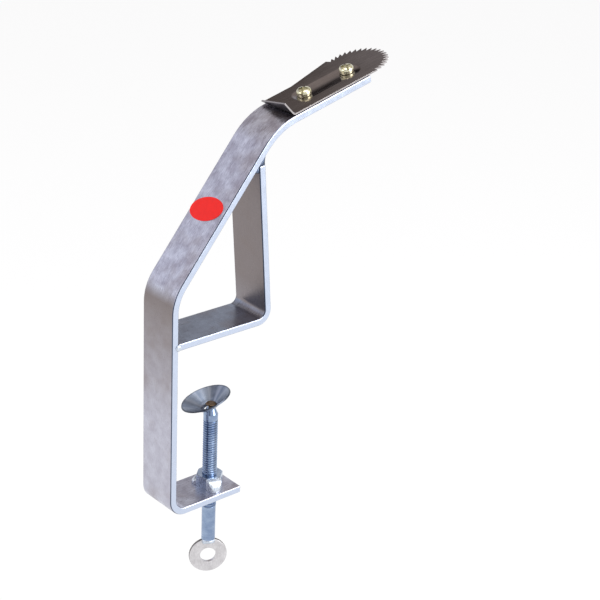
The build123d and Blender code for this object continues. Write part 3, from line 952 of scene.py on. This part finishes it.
class SCRAPER_OT_spindle(bpy.types.Operator):
    """Makes the clamp screw: a threaded rod with a plain end above and a plain shank below"""

    bl_idname = "scraper.spindle"
    bl_label = "Clamp screw"

    def execute(self, context):
        sizes = context.scene.scraper_sizes
        crest, shank = sizes.crest_radius / MM, sizes.shank_radius / MM
        rod = helical_thread("threaded_clamp_screw", THREAD_START_Z, THREAD_END_Z)
        socket = NECK_RADIUS + CLEARANCE
        tip = turned("tip", [
            (0.0, THREAD_START_Z - 0.3), (crest - 0.6, THREAD_START_Z - 0.3),
            (crest, THREAD_START_Z + 0.3), (crest, SHOULDER_Z - 0.3),
            (crest - 0.25, SHOULDER_Z + 0.15), (2.45, TIP_Z - 0.2), (2.2, TIP_Z),
            (socket, TIP_Z), (socket, TIP_Z - 1.5), (0.0, TIP_Z - 1.5),
        ])
        plain = turned("plain", [
            (0.0, SCREW_END_Z), (shank, SCREW_END_Z), (shank, THREAD_END_Z - 0.2),
            (shank - 0.5, THREAD_END_Z + 0.3), (0.0, THREAD_END_Z + 0.3),
        ])
        activate(rod)
        tip.select_set(True)
        plain.select_set(True)
        bpy.ops.object.join()
        soften(rod, 0.0)
        finish(rod, blue_zinc_spindle(), "screw", "zinc_screw", "clamp_screw")
        return {"FINISHED"}


class SCRAPER_OT_eye(bpy.types.Operator):
    """Rounds the ring under the clamp screw"""

    bl_idname = "scraper.eye"
    bl_label = "Eye"

    def execute(self, context):
        ring = copy_of("eye_washer", "stamped_eye_ring")
        soften(ring, context.scene.scraper_sizes.eye_round)
        finish(ring, tumbled_steel_ring(), "screw", "eye_steel", "eye_washer")
        return {"FINISHED"}


class SCRAPER_OT_rivet(bpy.types.Operator):
    """Makes the domed rivet that carries the cup"""

    bl_idname = "scraper.rivet"
    bl_label = "Swivel rivet"

    def execute(self, context):
        top = RIVET_HEAD_Z + 1.1
        dome = cut_corners([
            (RIVET_HEAD_RADIUS, RIVET_HEAD_Z), (RIVET_HEAD_RADIUS, RIVET_HEAD_Z + 0.5),
            (1.75, top), (0.0, top),
        ], 3)
        neck = [
            (0.0, TIP_Z - 3.05), (1.7, TIP_Z - 3.05), (1.7, TIP_Z - 1.25),
            (NECK_RADIUS, TIP_Z - 1.25), (NECK_RADIUS, RIVET_HEAD_Z),
        ]
        rivet = turned("domed_swivel_rivet", neck + dome)
        soften(rivet, 0.0)
        finish(rivet, browned_rivet(), "swivel", "rivet_steel", "swivel_rivet")
        return {"FINISHED"}


class SCRAPER_OT_cup(bpy.types.Operator):
    """Makes the pressed cup that bears on the underside of the table"""

    bl_idname = "scraper.cup"
    bl_label = "Pressure cup"

    def execute(self, context):
        middle = [
            (CUP_HOLE_RADIUS, HUB_HEIGHT), (CUP_HUB_RADIUS, HUB_HEIGHT),
            (CUP_FLARE_RADIUS, HUB_HEIGHT + 1.9), (CUP_RADIUS, HUB_HEIGHT + 5.3),
        ]
        sheet = sheet_outline(cut_corners(middle, 3), CUP_SHEET)
        cup = turned("pressed_pressure_cup", sheet, closed=True)
        place(cup, CUP)
        soften(cup, 0.12 * MM, angle=radians(60))
        finish(cup, pressed_zinc_cup(), "cup", "cup_steel", "pressure_cup")
        return {"FINISHED"}


# ---- stage --------------------------------------------------------------------------------------
def camera_axes():
    """Camera's right, up and forward directions."""
    forward = Vector((
        cos(CAMERA_PITCH) * cos(CAMERA_YAW), cos(CAMERA_PITCH) * sin(CAMERA_YAW), sin(CAMERA_PITCH)
    ))
    right = Vector((sin(CAMERA_YAW), -cos(CAMERA_YAW), 0))
    up = right.cross(forward)
    turned_right = cos(CAMERA_ROLL) * right + sin(CAMERA_ROLL) * up
    turned_up = -sin(CAMERA_ROLL) * right + cos(CAMERA_ROLL) * up
    return turned_right, turned_up, forward


def softbox(name, place_at, power, width, height):
    """Soft rectangular lamp aimed at the object, its place and sides in metres."""
    bpy.ops.object.select_all(action="DESELECT")
    bpy.ops.object.light_add(type="AREA", location=place_at)
    lamp = bpy.context.object
    lamp.name = name
    aim = Vector((0, 0, 0.02)) - Vector(place_at)
    lamp.rotation_euler = aim.to_track_quat("-Z", "Y").to_euler()
    lamp.data.shape = "RECTANGLE"
    lamp.data.size = width
    lamp.data.size_y = height
    lamp.data.energy = power


class SCRAPER_OT_stage(bpy.types.Operator):
    """Sets the pale floor, the soft studio lamps and the camera"""

    bl_idname = "scraper.stage"
    bl_label = "Stage"

    def execute(self, context):
        scene = context.scene
        studio = scene.scraper_studio
        self.make_camera(scene)
        self.make_floor(scene)
        right = Vector((sin(CAMERA_YAW), -cos(CAMERA_YAW), 0))
        toward = -Vector((cos(CAMERA_YAW), sin(CAMERA_YAW), 0))
        up = Vector((0, 0, 1))
        for name, place_at, power, width, height in (
            ("key_lamp", right * 0.85 + toward * 0.35 + up * 0.45, studio.key_power, 0.6, 0.9),
            ("fill_lamp", -right * 0.9 + toward * 0.5 + up * 0.5, studio.fill_power, 0.5, 0.8),
            ("top_lamp", toward * 0.1 + up * 1.1, studio.top_power, 0.9, 0.9),
        ):
            softbox(name, place_at, power, width, height)
        self.make_world(scene)
        scene.view_settings.view_transform = "Standard"
        return {"FINISHED"}

    def make_camera(self, scene):
        """Camera at the fitted place, turned by the fitted angles."""
        bpy.ops.object.select_all(action="DESELECT")
        bpy.ops.object.camera_add()
        camera = bpy.context.object
        camera.name = "studio_camera"
        turned_right, turned_up, forward = camera_axes()
        turn = Matrix((turned_right, turned_up, -forward)).transposed().to_4x4()
        camera.matrix_world = Matrix.Translation(CAMERA_PLACE) @ turn
        camera.data.lens = CAMERA_LENS
        camera.data.sensor_width = CAMERA_SENSOR
        scene.camera = camera

    def make_floor(self, scene):
        """Pale floor that shows near white and keeps the object's shadow."""
        bpy.ops.object.select_all(action="DESELECT")
        bpy.ops.mesh.primitive_plane_add(size=12, location=(0, 0, -scene.scraper_sizes.floor_drop))
        floor = bpy.context.object
        floor.name = "studio_floor"
        material = bpy.data.materials.new("matt_white_floor")
        material.use_nodes = True
        tree = material.node_tree
        shader = tree.nodes["Principled BSDF"]
        shader.inputs["Base Color"].default_value = rgba(scene.scraper_colours.floor)
        shader.inputs["Roughness"].default_value = 0.9
        path = add_node(tree, "ShaderNodeLightPath")
        seen = add_node(
            tree, "ShaderNodeMath",
            {0: path.outputs["Is Camera Ray"], 1: path.outputs["Is Glossy Ray"]}, operation="MAXIMUM",
        )
        seen = add_node(
            tree, "ShaderNodeMath",
            {0: seen.outputs["Value"], 1: path.outputs["Is Transmission Ray"]}, operation="MAXIMUM",
        )
        glow = add_node(
            tree, "ShaderNodeEmission", {"Color": (1, 1, 1, 1), "Strength": seen.outputs["Value"]}
        )
        share = add_node(tree, "ShaderNodeMixShader", {
            0: FLOOR_GLOW, 1: shader.outputs["BSDF"], 2: glow.outputs["Emission"]
        })
        tree.links.new(share.outputs["Shader"], tree.nodes["Material Output"].inputs["Surface"])
        floor.data.materials.append(material)

    def make_world(self, scene):
        """Soft studio of plain walls with a dark one behind on the left, under a warm ceiling."""
        world = bpy.data.worlds.new("studio_world")
        scene.world = world
        world.use_nodes = True
        tree = world.node_tree
        right = (sin(CAMERA_YAW), -cos(CAMERA_YAW), 0)
        way = add_node(tree, "ShaderNodeTexCoord").outputs["Generated"]
        side = add_node(tree, "ShaderNodeVectorMath", {0: way, 1: right}, operation="DOT_PRODUCT")
        place_on = between(tree, side.outputs["Value"], -1.0, 1.0)
        height = add_node(tree, "ShaderNodeSeparateXYZ", {"Vector": way}).outputs["Z"]
        shades = []
        for place_at, colours in ((place_on, WALLS), (height, CEILING)):
            ramp = add_node(tree, "ShaderNodeValToRGB", {"Fac": place_at})
            stops = ramp.color_ramp.elements
            for stop, (position, code) in zip(stops, (colours[0], colours[-1])):
                stop.position, stop.color = position, rgba(linear(code))
            for position, code in colours[1:-1]:
                stops.new(position).color = rgba(linear(code))
            shades.append(ramp.outputs["Color"])
        shade = rgba(linear(HORIZON))
        for (low, high), above in zip((WALLS_FROM, CEILING_FROM), shades):
            shade = add_node(
                tree, "ShaderNodeMix",
                {0: between(tree, height, low, high), MIX_A: shade, MIX_B: above},
                data_type="RGBA",
            ).outputs[MIX_OUT]
        tree.links.new(shade, tree.nodes["Background"].inputs["Color"])


class SCRAPER_PT_panel(bpy.types.Panel):
    """Lists the scraper's pieces and their settings"""

    bl_label = "Coconut scraper"
    bl_idname = "SCRAPER_PT_panel"
    bl_space_type = "VIEW_3D"
    bl_region_type = "UI"
    bl_category = "Scraper"

    def draw(self, context):
        for operator in OPERATORS:
            self.layout.operator(operator.bl_idname)
        for group_name, _ in GROUPS:
            group = getattr(context.scene, group_name)
            box = self.layout.box()
            for name in group.__annotations__:
                box.prop(group, name)


OPERATORS = (
    SCRAPER_OT_stage,
    SCRAPER_OT_bars,
    SCRAPER_OT_welds,
    SCRAPER_OT_clamp_nut,
    SCRAPER_OT_label,
    SCRAPER_OT_blade,
    SCRAPER_OT_blade_fasteners,
    SCRAPER_OT_spindle,
    SCRAPER_OT_eye,
    SCRAPER_OT_rivet,
    SCRAPER_OT_cup,
)
GROUPS = (
    ("scraper_sizes", ScraperSizes),
    ("scraper_colours", ScraperColours),
    ("scraper_studio", ScraperStudio),
)


def register():
    for name, group in GROUPS:
        bpy.utils.register_class(group)
        setattr(bpy.types.Scene, name, PointerProperty(type=group))
    for operator in OPERATORS:
        bpy.utils.register_class(operator)
    bpy.utils.register_class(SCRAPER_PT_panel)


def unregister():
    bpy.utils.unregister_class(SCRAPER_PT_panel)
    for operator in reversed(OPERATORS):
        bpy.utils.unregister_class(operator)
    for name, group in reversed(GROUPS):
        delattr(bpy.types.Scene, name)
        bpy.utils.unregister_class(group)


def main():
    """Builds the stage and every piece."""
    register()
    bpy.ops.scraper.stage()
    bpy.ops.scraper.bars()
    bpy.ops.scraper.welds()
    bpy.ops.scraper.clamp_nut()
    bpy.ops.scraper.label()
    bpy.ops.scraper.blade()
    bpy.ops.scraper.blade_fasteners()
    bpy.ops.scraper.spindle()
    bpy.ops.scraper.eye()
    bpy.ops.scraper.rivet()
    bpy.ops.scraper.cup()
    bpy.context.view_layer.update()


if __name__ == "__main__":
    main()
